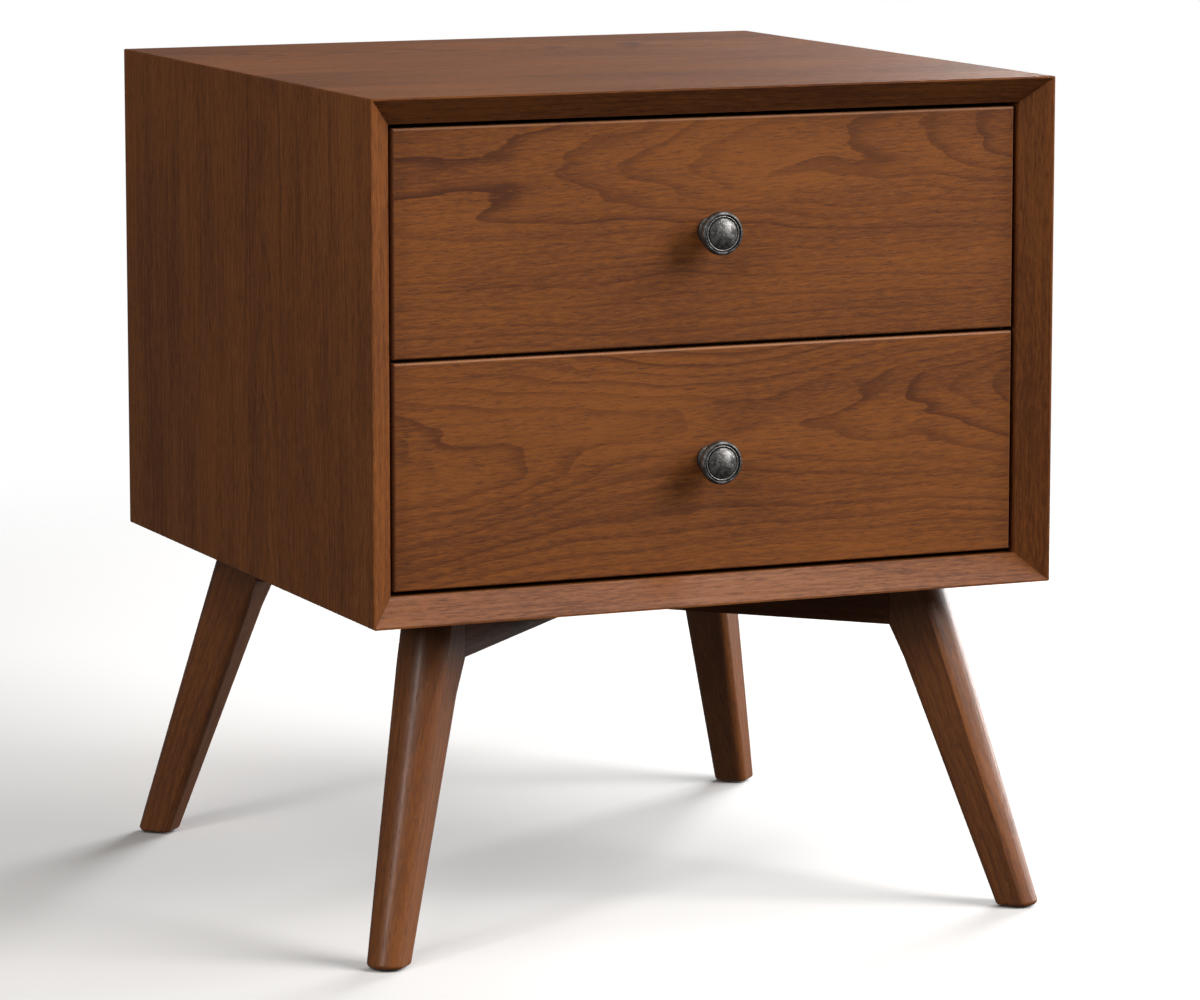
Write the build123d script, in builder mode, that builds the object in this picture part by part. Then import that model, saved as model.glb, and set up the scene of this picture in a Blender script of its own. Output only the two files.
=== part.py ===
"""Two-drawer nightstand: a mitred box case with a bevelled front frame, standing on a crossed-rail
base with four splayed legs.

The case front faces -Y and +Z is up. The origin is on the floor, under the middle of the whole
object's bounding box. All sizes are in millimetres.
"""

import os
from math import cos, radians, sin, sqrt

from build123d import *

# ---------------------------------------------------------------- case
case_width = 560.0
case_depth = 560.0
case_height = 391.0
panel = 20.6  # top, bottom and sides
corner_round = 1.2  # eased outer arrises
bevel_depth = 19.4  # how far the front frame slopes back to the opening
bevel_land = 1.4  # what is left of a panel's thickness at the very front

back_thickness = 9.0
rabbet_depth = 10.0
rabbet_width = 10.0
back_clearance = 0.5

corner_dowel_radius = 3.0
corner_dowel_length = 18.0
corner_dowel_count = 4
corner_dowel_pitch = 130.0

divider_depth = 60.0
divider_thickness = 18.0
divider_setback = 2.0  # behind the drawer fronts
divider_dowel_radius = 4.0
divider_dowel_in_side = 11.0
divider_dowel_in_rail = 20.0

# ---------------------------------------------------------------- base
leg_height = 257.5
rail_depth = 39.0
rail_width = 41.0
rail_reach = 272.5  # from the centre of the base to the rail's seam with a leg
leg_top_reach = 306.5  # to the middle of the leg's outer face at the top
foot_inner_reach = 359.0
foot_outer_reach = 390.0
foot_width = 28.5
leg_top_crown = 11.0  # how far the rounded outer face stands out from its two arrises
foot_crown = 8.0
leg_inner_round = 7.0
rail_end_round = 0.5  # the leg's inner arrises beside the rail
leg_round_run = 26.0  # length over which the inner arrises ease from sharp to round
foot_round = 3.0

glide_radius = 8.0
glide_thickness = 3.0
glide_proud = 1.5
glide_nail_radius = 1.2
glide_nail_length = 12.0

leg_dowel_radius = 4.0
leg_dowel_length = 40.0
leg_dowel_heights = (12.0, 27.0)  # below the top of the rail

base_screw_places = (90.0, 220.0)  # from the centre of the base, along each rail
base_screw_radius = 2.25
base_screw_length = 35.0
base_screw_head = 4.2
base_screw_head_height = 2.6
base_screw_bore = 5.0
base_screw_bore_depth = 20.0

# ---------------------------------------------------------------- drawer fronts and knobs
front_inset = 1.0  # behind the inner edge of the bevel
front_thickness = 19.0
front_edge_round = 1.5
gap_top = 3.5
gap_between = 3.0
gap_bottom = 3.2
gap_side = 4.0

knob_projection = 27.0
knob_radius = 16.6
knob_base_radius = 10.5
knob_base_edge = 1.2
knob_neck_radius = 5.2
knob_neck_height = 8.0
knob_cap_thickness = 10.8
knob_rim_round = 1.3
knob_dome_rise = 3.2  # of the face's dome above the rim
knob_foot_cove = 1.4  # how far the neck's lower hollow stands out halfway up
knob_cap_cove = 2.2  # how far the hollow under the cap stands out from the neck
knob_cap_cove_rise = 1.2  # of that hollow above its middle
knob_cap_lip = 2.5  # overhang of the cap's edge past the flat underneath
knob_rim_crown = 0.3
knob_ring_share = 0.765  # raised ring's radius, as a share of the cap's
knob_ring_width = 1.3
knob_ring_groove = 0.8
knob_ring_rise = 0.6
knob_thread_radius = 2.0
knob_thread_depth = 12.0
knob_screw_head = 4.5
knob_screw_head_height = 2.4

# ---------------------------------------------------------------- drawer boxes
box_board = 12.0
box_height = 130.0
box_depth = 480.0
box_bottom_thickness = 6.0
box_groove = 6.0  # depth of the grooves that hold the bottom
box_bottom_lift = 10.0  # bottom board above the sides' lower edges
tail_count = 4
tail_wide = 22.0
tail_narrow = 17.0

front_screw_radius = 2.0
front_screw_length = 26.0
front_screw_head = 4.0
front_screw_inset = 45.0
front_screw_spacing = 70.0

# ---------------------------------------------------------------- ball-bearing slides
slide_thickness = 12.7
slide_length = 450.0
slide_steel = 1.2
slide_setback = 3.0  # behind the drawer fronts
cabinet_member_height = 45.0
middle_member_height = 35.0
drawer_member_height = 25.0
cabinet_member_reach = 10.5  # from the case side to the member's open edge
middle_member_start = 3.0
middle_member_end = 11.0
drawer_member_start = 5.2
member_lip = 2.2
middle_member_length = 440.0
slide_screw_radius = 1.75
slide_screw_length = 10.0
slide_screw_head = 3.2
slide_screw_head_height = 1.2
slide_screw_places = (35.0, 190.0, 410.0)  # from the front end of a member
ball_radius = 1.6
ball_pitch = 17.0
balls_in_row = 13
cage_strip = 0.8
cage_width = 4.4
outer_cage_start = 210.0  # from the front end of the slide, between cabinet and middle members
inner_cage_start = 15.0  # between middle and drawer members

# ---------------------------------------------------------------- shared fits
screw_fit = 0.05
back_screw_radius = 1.75
back_screw_length = 22.0
back_screw_head = 3.4
back_screw_spacing = 190.0

# ---------------------------------------------------------------- places worked out from the sizes
knob_overhang = knob_projection - bevel_depth - front_inset
case_front = knob_overhang / 2 - case_depth / 2
case_back = case_front + case_depth
case_centre_y = case_front + case_depth / 2
case_bottom = leg_height + glide_proud
case_middle_z = case_bottom + case_height / 2
rail_bottom = case_bottom - rail_depth
inner_half_width = case_width / 2 - panel
inner_height = case_height - 2 * panel

front_face = case_front + bevel_depth + front_inset
front_back_face = front_face + front_thickness
front_height = (inner_height - gap_top - gap_between - gap_bottom) / 2
front_width = 2 * (inner_half_width - gap_side)
lower_front_z = case_bottom + panel + gap_bottom + front_height / 2
upper_front_z = lower_front_z + front_height + gap_between
divider_z = (lower_front_z + upper_front_z) / 2

box_half_width = inner_half_width - slide_thickness
box_back_face = front_back_face + box_depth
slide_front = front_back_face + slide_setback
back_panel_front = case_back - rabbet_depth
back_panel_rear = back_panel_front + back_thickness
foot_centre_reach = (foot_inner_reach + foot_outer_reach) / 2

MAX_Z = (Align.CENTER, Align.CENTER, Align.MAX)
MIN_Z = (Align.CENTER, Align.CENTER, Align.MIN)

os.makedirs("parts", exist_ok=True)


def save(builder, label):
    """Label a finished piece and write it to its own STEP file."""
    builder.part.label = label
    export_step(builder.part, f"parts/{label}.step")


def upright(y):
    """Plane facing the front at depth y: sketches are (x, z) and a negative extrude goes back."""
    return Plane.XZ.offset(-y)


def countersunk(plane, points, radius, length, head_radius, fit=0.0, mode=Mode.ADD):
    """Flat-head screws, or the holes for them, with heads flush in the plane and shanks along -Z."""
    head_height = head_radius - radius
    with Locations(plane):
        with Locations(points):
            Cylinder(radius + fit, length + fit, align=MAX_Z, mode=mode)
            Cone(radius + fit, head_radius + fit, head_height, align=MAX_Z, mode=mode)


def pan_head(plane, points, radius, length, head_radius, head_height, fit=0.0, mode=Mode.ADD):
    """Pan-head screws, or the holes for them: heads stand on the plane and shanks go along -Z."""
    with Locations(plane):
        with Locations(points):
            Cylinder(radius + fit, length + fit, align=MAX_Z, mode=mode)
            Cylinder(head_radius + fit, head_height, align=MIN_Z, mode=mode)


# ================================================================ case
def corner_plane(side, end):
    """Plane on the middle of a corner's mitre, with the dowels' direction as its normal."""
    return Plane(
        origin=(
            side * (case_width - panel) / 2,
            case_centre_y,
            case_middle_z + end * (case_height - panel) / 2,
        ),
        x_dir=(0, 1, 0),
        z_dir=(side, 0, -end),
    )


def corner_dowels(side, end, mode=Mode.ADD):
    """The row of dowels across one mitred corner, or the holes for them."""
    with Locations(corner_plane(side, end)):
        with GridLocations(corner_dowel_pitch, 1, corner_dowel_count, 1):
            Cylinder(corner_dowel_radius, corner_dowel_length, mode=mode)


def back_screw_points():
    """Screws of the back panel as (x, z) offsets from the middle of the case."""
    side_x = inner_half_width + rabbet_width / 2
    edge_z = inner_height / 2 + rabbet_width / 2
    points = []
    for step in (-1, 0, 1):
        points += [(step * back_screw_spacing, edge_z), (step * back_screw_spacing, -edge_z)]
    for step in (-1, 1):
        rise = step * inner_height / 4
        points += [(side_x, rise), (-side_x, rise)]
    return points


# Facing the back, so that its -Z goes forward into the case.
back_screw_plane = Plane(
    origin=(0, back_panel_rear, case_middle_z), x_dir=(-1, 0, 0), z_dir=(0, 1, 0)
)


def case_panel(turn, half_length, face, corners):
    """One mitred panel of the case, seen from the front and turned about the case's middle.

    The panel is half_length to each side, and its outer face is `face` from the middle.
    """
    across = (cos(radians(turn)), 0, sin(radians(turn)))
    seen = Plane(origin=(0, case_front, case_middle_z), x_dir=across, z_dir=(0, -1, 0))
    section = Plane(origin=(0, case_front, case_middle_z), x_dir=(0, 1, 0), z_dir=across)
    tip = corner_round * (1 - 1 / sqrt(2))
    inside = face - panel
    with BuildPart() as board:
        with BuildSketch(seen):
            with BuildLine():
                CenterArc((half_length - corner_round, face - corner_round), corner_round, 45, 45)
                Line((half_length - corner_round, face), (corner_round - half_length, face))
                CenterArc((corner_round - half_length, face - corner_round), corner_round, 90, 45)
                Polyline(
                    (tip - half_length, face - tip),
                    (panel - half_length, inside),
                    (half_length - panel, inside),
                    (half_length - tip, face - tip),
                )
            make_face()
        extrude(amount=-case_depth)
        # The sloping front of the frame.
        with BuildSketch(section):
            Polygon(
                (0, face - bevel_land), (bevel_depth, inside), (0, inside), align=None
            )
        extrude(amount=half_length, both=True, mode=Mode.SUBTRACT)
        # The rabbet for the back panel.
        with BuildSketch(section):
            with Locations((case_depth, inside)):
                Rectangle(rabbet_depth, rabbet_width, align=(Align.MAX, Align.MIN))
        extrude(amount=half_length - panel + rabbet_width, both=True, mode=Mode.SUBTRACT)
        for side, end in corners:
            corner_dowels(side, end, mode=Mode.SUBTRACT)
        countersunk(
            back_screw_plane, back_screw_points(), back_screw_radius, back_screw_length,
            back_screw_head, screw_fit, Mode.SUBTRACT,
        )
    return board


top_panel = case_panel(0, case_width / 2, case_height / 2, ((-1, 1), (1, 1)))
save(top_panel, "top_panel")


def divider_dowels(mode=Mode.ADD):
    """Two dowels at each end of the divider rail, or the holes for them."""
    for side in (-1, 1):
        end = Plane(
            origin=(side * inner_half_width, front_back_face + divider_setback, divider_z),
            x_dir=(0, 1, 0), z_dir=(side, 0, 0),
        )
        with Locations(end):
            with Locations((divider_depth / 4, 0), (divider_depth * 3 / 4, 0)):
                Cylinder(divider_dowel_radius, divider_dowel_in_side, align=MIN_Z, mode=mode)
                Cylinder(divider_dowel_radius, divider_dowel_in_rail, align=MAX_Z, mode=mode)


def slide_screw_plane(side, centre_z):
    """Plane on a cabinet member's web, facing into the case."""
    return Plane(
        origin=(side * (inner_half_width - slide_steel), slide_front, centre_z),
        x_dir=(0, 1, 0), z_dir=(-side, 0, 0),
    )


slide_screw_points = [(place, 0) for place in slide_screw_places]
drawer_levels = {"lower": lower_front_z, "upper": upper_front_z}

for side, name in ((-1, "left"), (1, "right")):
    side_panel = case_panel(
        -90 * side, case_height / 2, case_width / 2, ((side, -1), (side, 1))
    )
    with side_panel:
        divider_dowels(mode=Mode.SUBTRACT)
        for centre_z in drawer_levels.values():
            pan_head(
                slide_screw_plane(side, centre_z), slide_screw_points, slide_screw_radius,
                slide_screw_length, slide_screw_head, slide_screw_head_height,
                screw_fit, Mode.SUBTRACT,
            )
    save(side_panel, f"{name}_side_panel")

# ================================================================ base
leg_turns = {"front_left": 225, "front_right": 315, "back_right": 45, "back_left": 135}


def along(turn, reach, z):
    """Point at a distance from the middle of the base, in the direction of one leg."""
    return (reach * cos(radians(turn)), case_centre_y + reach * sin(radians(turn)), z)


def level(turn, z):
    """Level plane over the middle of the base, with its X towards one leg."""
    return Plane(
        origin=(0, case_centre_y, z),
        x_dir=(cos(radians(turn)), sin(radians(turn)), 0), z_dir=(0, 0, 1),
    )


def base_screws(mode=Mode.ADD, fit=0.0):
    """Screws up through the rails into the bottom panel, or the holes for them."""
    for turn in leg_turns.values():
        seat = rail_bottom + base_screw_bore_depth
        under = Plane(
            origin=(0, case_centre_y, seat),
            x_dir=(cos(radians(turn)), sin(radians(turn)), 0), z_dir=(0, 0, -1),
        )
        pan_head(
            under, [(place, 0) for place in base_screw_places], base_screw_radius,
            base_screw_length, base_screw_head, base_screw_head_height, fit, mode,
        )


bottom_panel = case_panel(180, case_width / 2, case_height / 2, ((-1, -1), (1, -1)))
with bottom_panel:
    base_screws(Mode.SUBTRACT, screw_fit)
save(bottom_panel, "bottom_panel")


def leg_dowels(turn, mode=Mode.ADD):
    """The two dowels between a rail's end and a leg, or the holes for them."""
    seam = Plane(
        origin=along(turn, rail_reach, case_bottom), x_dir=(0, 0, 1),
        z_dir=(cos(radians(turn)), sin(radians(turn)), 0),
    )
    with Locations(seam):
        with Locations(*[(-height, 0) for height in leg_dowel_heights]):
            Cylinder(leg_dowel_radius, leg_dowel_length, mode=mode)


def cross_rail(turn, notch_from):
    """One diagonal rail, half-lapped in the middle: notch_from is the height its notch starts at."""
    with BuildPart() as rail:
        with BuildSketch(level(turn, rail_bottom)):
            Rectangle(2 * rail_reach, rail_width)
        extrude(amount=rail_depth)
        with BuildSketch(level(turn, notch_from)):
            Rectangle(rail_width, rail_width)
        extrude(amount=rail_depth / 2, mode=Mode.SUBTRACT)
        for end in (turn, turn + 180):
            leg_dowels(end, Mode.SUBTRACT)
        base_screws(Mode.SUBTRACT, screw_fit)
        with Locations(level(turn, rail_bottom)):
            with Locations(*[(s * p, 0) for p in base_screw_places for s in (-1, 1)]):
                Cylinder(
                    base_screw_bore, base_screw_bore_depth, align=MIN_Z, mode=Mode.SUBTRACT
                )
    return rail


save(cross_rail(leg_turns["front_left"], rail_bottom), "cross_rail_upper_lap")
save(cross_rail(leg_turns["front_right"], rail_bottom + rail_depth / 2), "cross_rail_lower_lap")


def leg_section(turn, z, inner_round):
    """Level section of a leg: flat inside and at its sides, crowned on the outer face."""
    rise = (z - glide_proud) / leg_height  # 0 at the foot, 1 under the case
    below_rail = min(1.0, (z - glide_proud) / (leg_height - rail_depth))
    inner = foot_inner_reach + (rail_reach - foot_inner_reach) * below_rail
    half = (foot_width + (rail_width - foot_width) * below_rail) / 2
    outer = foot_outer_reach + (leg_top_reach - foot_outer_reach) * rise
    arris = outer - foot_crown - (leg_top_crown - foot_crown) * rise
    turn_in = inner_round * (1 - 1 / sqrt(2))
    with BuildSketch(level(turn, z)) as section:
        with BuildLine():
            ThreePointArc((arris, -half), (outer, 0), (arris, half))
            Line((arris, half), (inner + inner_round, half))
            ThreePointArc(
                (inner + inner_round, half), (inner + turn_in, half - turn_in),
                (inner, half - inner_round),
            )
            Line((inner, half - inner_round), (inner, inner_round - half))
            ThreePointArc(
                (inner, inner_round - half), (inner + turn_in, turn_in - half),
                (inner + inner_round, -half),
            )
            Line((inner + inner_round, -half), (arris, -half))
        make_face()
    return section.sketch


def foot_glide(turn, mode=Mode.ADD, fit=0.0):
    """Nail-on glide under a foot, or the recess for it."""
    with Locations(Location(along(turn, foot_centre_reach, 0))):
        Cylinder(glide_radius + fit, glide_thickness, align=MIN_Z, mode=mode)
        Cylinder(
            glide_nail_radius, glide_thickness + glide_nail_length, align=MIN_Z, mode=mode
        )


for name, turn in leg_turns.items():
    sections = [
        leg_section(turn, case_bottom, rail_end_round),
        leg_section(turn, rail_bottom, rail_end_round),
        leg_section(turn, rail_bottom - leg_round_run, leg_inner_round),
        leg_section(turn, glide_proud, leg_inner_round),
    ]
    with BuildPart() as leg:
        loft(sections, ruled=True)
        fillet(leg.edges().group_by(Axis.Z)[0], foot_round)
        leg_dowels(turn, Mode.SUBTRACT)
        foot_glide(turn, Mode.SUBTRACT)
    save(leg, f"{name}_leg")

    with BuildPart() as glide:
        foot_glide(turn)
        fillet(glide.edges().group_by(Axis.Z)[0], glide_proud / 2)
    save(glide, f"{name}_glide")

with BuildPart() as leg_dowel_set:
    for turn in leg_turns.values():
        leg_dowels(turn)
save(leg_dowel_set, "leg_dowels")

with BuildPart() as base_screw_set:
    base_screws()
save(base_screw_set, "base_screws")

# ================================================================ inside the case
with BuildPart() as corner_dowel_set:
    for side in (-1, 1):
        for end in (-1, 1):
            corner_dowels(side, end)
save(corner_dowel_set, "corner_dowels")

with BuildPart() as divider_rail:
    with BuildSketch(upright(front_back_face + divider_setback)):
        with Locations((0, divider_z)):
            Rectangle(2 * inner_half_width, divider_thickness)
    extrude(amount=-divider_depth)
    divider_dowels(mode=Mode.SUBTRACT)
save(divider_rail, "divider_rail")

with BuildPart() as divider_dowel_set:
    divider_dowels()
save(divider_dowel_set, "divider_dowels")

with BuildPart() as back_panel:
    with BuildSketch(upright(back_panel_front)):
        with Locations((0, case_middle_z)):
            Rectangle(
                2 * (inner_half_width + rabbet_width - back_clearance),
                inner_height + 2 * (rabbet_width - back_clearance),
            )
    extrude(amount=-back_thickness)
    countersunk(
        back_screw_plane, back_screw_points(), back_screw_radius, back_screw_length,
        back_screw_head, screw_fit, Mode.SUBTRACT,
    )
save(back_panel, "back_panel")

with BuildPart() as back_screws:
    countersunk(
        back_screw_plane, back_screw_points(), back_screw_radius, back_screw_length,
        back_screw_head,
    )
save(back_screws, "back_panel_screws")


# ================================================================ slides
def channel(side, centre_z, near, far, height, lip, mouth_inward, front, length):
    """Rolled steel channel of a slide.

    near and far are its distances from the case side. Its mouth faces into the case, or out
    towards the case side, and has a turned lip along each edge.
    """
    middle_x = side * (inner_half_width - (near + far) / 2)
    mouth_at = far - slide_steel / 2 if mouth_inward else near + slide_steel / 2
    mouth_x = side * (inner_half_width - mouth_at)
    with BuildPart() as member:
        with BuildSketch(upright(front)):
            with Locations((middle_x, centre_z)):
                Rectangle(far - near, height)
                Rectangle(
                    far - near - 2 * slide_steel, height - 2 * slide_steel, mode=Mode.SUBTRACT
                )
            with Locations((mouth_x, centre_z)):
                Rectangle(slide_steel, height - 2 * (slide_steel + lip), mode=Mode.SUBTRACT)
        extrude(amount=-length)
    return member


def drawer_member_plane(side, centre_z):
    """Plane on a drawer member's web, facing the case side."""
    return Plane(
        origin=(side * (box_half_width + slide_steel), slide_front, centre_z),
        x_dir=(0, 1, 0), z_dir=(side, 0, 0),
    )


def ball_row(x, z, start):
    """One row of balls, held in its cage strip."""
    length = (balls_in_row - 1) * ball_pitch
    with Locations((x, slide_front + start + length / 2, z)):
        Box(cage_width, length + ball_pitch, cage_strip)
        with GridLocations(1, ball_pitch, 1, balls_in_row):
            Sphere(ball_radius)


def ball_rows(centre_z):
    """The rows above and below both moving members of a drawer's two slides."""
    outer_z = (cabinet_member_height - 2 * slide_steel + middle_member_height) / 4
    inner_z = (middle_member_height - 2 * slide_steel + drawer_member_height) / 4
    outer_x = inner_half_width - (middle_member_start + cabinet_member_reach) / 2
    inner_x = inner_half_width - (middle_member_start + middle_member_end) / 2
    for side in (-1, 1):
        for rise in (-1, 1):
            ball_row(side * outer_x, centre_z + rise * outer_z, outer_cage_start)
            ball_row(side * inner_x, centre_z + rise * inner_z, inner_cage_start)


with BuildPart() as slide_screws:
    for centre_z in drawer_levels.values():
        for side in (-1, 1):
            pan_head(
                slide_screw_plane(side, centre_z), slide_screw_points, slide_screw_radius,
                slide_screw_length, slide_screw_head, slide_screw_head_height,
            )
save(slide_screws, "cabinet_slide_screws")

for drawer, centre_z in drawer_levels.items():
    for side, name in ((-1, "left"), (1, "right")):
        cabinet_member = channel(
            side, centre_z, 0, cabinet_member_reach, cabinet_member_height, member_lip,
            True, slide_front, slide_length,
        )
        with cabinet_member:
            pan_head(
                slide_screw_plane(side, centre_z), slide_screw_points, slide_screw_radius,
                slide_screw_length, slide_screw_head, slide_screw_head_height,
                screw_fit, Mode.SUBTRACT,
            )
        save(cabinet_member, f"{drawer}_{name}_cabinet_member")

        middle_member = channel(
            side, centre_z, middle_member_start, middle_member_end, middle_member_height,
            member_lip, True, slide_front, middle_member_length,
        )
        save(middle_member, f"{drawer}_{name}_middle_member")

        drawer_member = channel(
            side, centre_z, drawer_member_start, slide_thickness, drawer_member_height,
            0, False, slide_front, slide_length,
        )
        with drawer_member:
            pan_head(
                drawer_member_plane(side, centre_z), slide_screw_points, slide_screw_radius,
                slide_screw_length, slide_screw_head, slide_screw_head_height,
                screw_fit, Mode.SUBTRACT,
            )
        save(drawer_member, f"{drawer}_{name}_drawer_member")


for drawer, centre_z in drawer_levels.items():
    with BuildPart() as ball_cages:
        ball_rows(centre_z)
    save(ball_cages, f"{drawer}_ball_cages")


# ================================================================ drawers
def tail_points(baseline, end, centre_z):
    """Dovetail in the plane of a drawer side: narrow at its baseline, wide at the board's end."""
    return (
        (baseline, centre_z - tail_narrow / 2), (end, centre_z - tail_wide / 2),
        (end, centre_z + tail_wide / 2), (baseline, centre_z + tail_narrow / 2),
    )


def tails(centre_z, front_end, rear_end):
    """Sketch the tails at the front and rear ends of a drawer side."""
    pitch = box_height / tail_count
    for step in range(tail_count):
        tail_z = centre_z + (step - (tail_count - 1) / 2) * pitch
        if front_end:
            Polygon(
                *tail_points(front_back_face + box_board, front_back_face, tail_z), align=None
            )
        if rear_end:
            Polygon(
                *tail_points(box_back_face - box_board, box_back_face, tail_z), align=None
            )


def bottom_board(centre_z, mode=Mode.ADD):
    """The drawer's bottom board, or the grooves that hold it."""
    lower = centre_z - box_height / 2 + box_bottom_lift
    with Locations((0, (front_back_face + box_back_face) / 2, lower)):
        Box(
            2 * (box_half_width - box_board + box_groove),
            box_depth - 2 * (box_board - box_groove),
            box_bottom_thickness, align=MIN_Z, mode=mode,
        )


def front_screws(centre_z, mode=Mode.ADD, fit=0.0):
    """Screws from inside the box into the drawer front, or the holes for them."""
    inside = Plane(
        origin=(0, front_back_face + box_board, centre_z), x_dir=(-1, 0, 0), z_dir=(0, 1, 0)
    )
    reach = box_half_width - box_board - front_screw_inset
    points = [
        (step * reach, rise * front_screw_spacing / 2) for step in (-1, 1) for rise in (-1, 1)
    ]
    countersunk(
        inside, points, front_screw_radius, front_screw_length, front_screw_head, fit, mode
    )


def knob_screw(centre_z, mode=Mode.ADD, fit=0.0):
    """Machine screw through the box and the front into the knob, its head let in flush."""
    seat = Plane(
        origin=(0, front_back_face + box_board - knob_screw_head_height, centre_z),
        x_dir=(-1, 0, 0), z_dir=(0, 1, 0),
    )
    length = box_board - knob_screw_head_height + front_thickness + knob_thread_depth - 1
    pan_head(
        seat, [(0, 0)], knob_thread_radius, length, knob_screw_head,
        knob_screw_head_height, fit, mode,
    )


def cross_board(centre_z, front, at_front):
    """Front or back board of the box, as wide as the box, with sockets for the sides' tails."""
    with BuildPart() as board:
        with BuildSketch(upright(front)):
            with Locations((0, centre_z)):
                Rectangle(2 * box_half_width, box_height)
        extrude(amount=-box_board)
        for side in (-1, 1):
            with BuildSketch(Plane.YZ.offset(side * box_half_width)):
                tails(centre_z, at_front, not at_front)
            extrude(amount=-side * box_board, mode=Mode.SUBTRACT)
        bottom_board(centre_z, Mode.SUBTRACT)
        if at_front:
            front_screws(centre_z, Mode.SUBTRACT, screw_fit)
            knob_screw(centre_z, Mode.SUBTRACT, screw_fit)
    return board


def knob_outline():
    """Draw half the knob's outline: X is the radius and Y the distance out from the drawer front."""
    rim = knob_projection - knob_dome_rise  # crest of the rounded rim
    ring = knob_radius * knob_ring_share
    ring_half = knob_ring_width / 2
    dome = ring - ring_half - knob_ring_groove
    groove = rim - knob_ring_groove
    flare = knob_projection - knob_cap_thickness  # underside of the cap
    lip = knob_radius - knob_cap_lip
    crest = knob_radius - knob_rim_round
    Line((0, 0), (knob_base_radius, 0))
    Line((knob_base_radius, 0), (knob_base_radius, knob_base_edge))
    ThreePointArc(
        (knob_base_radius, knob_base_edge),
        (knob_neck_radius + knob_foot_cove, knob_neck_height * 0.45),
        (knob_neck_radius, knob_neck_height),
    )
    ThreePointArc(
        (knob_neck_radius, knob_neck_height),
        (knob_neck_radius + knob_cap_cove, (knob_neck_height + flare) / 2 + knob_cap_cove_rise),
        (lip, flare),
    )
    ThreePointArc((lip, flare), (knob_radius, (flare + rim) / 2), (crest, rim))
    rim_inside = ring + ring_half + knob_ring_groove
    ThreePointArc((crest, rim), ((crest + rim_inside) / 2, rim + knob_rim_crown), (rim_inside, rim))
    Line((rim_inside, rim), (ring + ring_half, groove))
    ThreePointArc(
        (ring + ring_half, groove), (ring, groove + knob_ring_rise), (ring - ring_half, groove)
    )
    Line((ring - ring_half, groove), (dome, rim))
    TangentArc((0, knob_projection), (dome, rim), tangent=(1, 0))
    Line((0, knob_projection), (0, 0))


for drawer, centre_z in drawer_levels.items():
    with BuildPart() as front:
        with BuildSketch(upright(front_face)):
            with Locations((0, centre_z)):
                Rectangle(front_width, front_height)
        extrude(amount=-front_thickness)
        fillet(front.edges().group_by(Axis.Y)[0], front_edge_round)
        front_screws(centre_z, Mode.SUBTRACT, screw_fit)
        knob_screw(centre_z, Mode.SUBTRACT, screw_fit)
    save(front, f"{drawer}_drawer_front")

    save(cross_board(centre_z, front_back_face, True), f"{drawer}_drawer_inner_front")
    save(cross_board(centre_z, box_back_face - box_board, False), f"{drawer}_drawer_back")

    for side, name in ((-1, "left"), (1, "right")):
        with BuildPart() as box_side:
            with BuildSketch(Plane.YZ.offset(side * box_half_width)):
                with Locations(((front_back_face + box_back_face) / 2, centre_z)):
                    Rectangle(box_depth - 2 * box_board, box_height)
                tails(centre_z, True, True)
            extrude(amount=-side * box_board)
            bottom_board(centre_z, Mode.SUBTRACT)
            pan_head(
                drawer_member_plane(side, centre_z), slide_screw_points, slide_screw_radius,
                slide_screw_length, slide_screw_head, slide_screw_head_height,
                screw_fit, Mode.SUBTRACT,
            )
        save(box_side, f"{drawer}_drawer_{name}_side")

    with BuildPart() as box_bottom:
        bottom_board(centre_z)
    save(box_bottom, f"{drawer}_drawer_bottom")

    with BuildPart() as knob:
        # Level half-plane through the knob's axis, with the sketch's Y pointing out of the front.
        with BuildSketch(Plane((0, front_face, centre_z), x_dir=(1, 0, 0), z_dir=(0, 0, -1))):
            with BuildLine():
                knob_outline()
            make_face()
        revolve(axis=Axis((0, front_face, centre_z), (0, 1, 0)))
        knob_screw(centre_z, Mode.SUBTRACT, screw_fit)
    save(knob, f"{drawer}_knob")

    with BuildPart() as knob_fixing:
        knob_screw(centre_z)
    save(knob_fixing, f"{drawer}_knob_screw")

    with BuildPart() as front_fixings:
        front_screws(centre_z)
    save(front_fixings, f"{drawer}_drawer_front_screws")

    with BuildPart() as member_screws:
        for side in (-1, 1):
            pan_head(
                drawer_member_plane(side, centre_z), slide_screw_points, slide_screw_radius,
                slide_screw_length, slide_screw_head, slide_screw_head_height,
            )
    save(member_screws, f"{drawer}_drawer_slide_screws")
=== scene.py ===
"""Finishes and fittings for a two-drawer nightstand, built around its packed frame.

The case front faces -Y, +Z is up, and everything is in metres.
"""

import math

import bmesh
import bpy
from bpy.props import FloatProperty, FloatVectorProperty, IntProperty, PointerProperty
from mathutils import Matrix, Vector


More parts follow.
